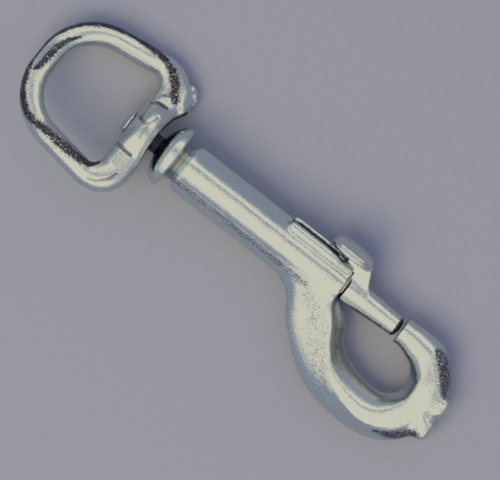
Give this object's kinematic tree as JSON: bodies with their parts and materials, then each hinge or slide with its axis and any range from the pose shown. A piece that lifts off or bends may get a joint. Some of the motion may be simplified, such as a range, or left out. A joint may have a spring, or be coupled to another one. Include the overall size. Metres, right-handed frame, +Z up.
{
  "type": "bolt snap",
  "caption": "Swivel-eye bolt snap: cast hook with a tubular barrel, a sprung sliding bolt with a round thumb knob that closes the hook, and a swivelling D-shaped eye.",
  "frame": {"origin": "centre of the snap's bounding box in plan, on the surface that it lies on", "axes": "+X from the eye to the hook, in line with the barrel in plan; +Y toward the thumb knob; +Z up from the surface. The barrel dips about 2 degrees toward the hook, as it comes to rest on its collar and belly."},
  "size_m": [0.0981, 0.0333, 0.0129],
  "materials": {
    "body_nickel": "nickel plated casting, bright over a slightly grainy skin",
    "eye_nickel": "nickel plated casting, bright over a slightly grainy skin",
    "bolt_nickel": "nickel plated casting, bright",
    "spring_wire": "drawn spring wire, dull"
  },
  "bodies": {
    "barrel": {"body": "body_nickel", "spring": "spring_wire"},
    "eye": {"eye": "eye_nickel"},
    "bolt": {"bolt": "bolt_nickel"}
  },
  "joints": [
    {"name": "eye_swivel", "type": "hinge", "parent": "barrel", "child": "eye", "pos_m": [-0.0253, 0.00253, 0.00634], "axis": [0.9994, 0, -0.0333], "continuous": true},
    {"name": "bolt_slide", "type": "slide", "parent": "barrel", "child": "bolt", "axis": [-0.9994, 0, 0.0333], "range_m": [0, 0.0114], "stiffness_N_per_m": 300, "springref_m": -0.008, "deforming": ["spring"]}
  ]
}
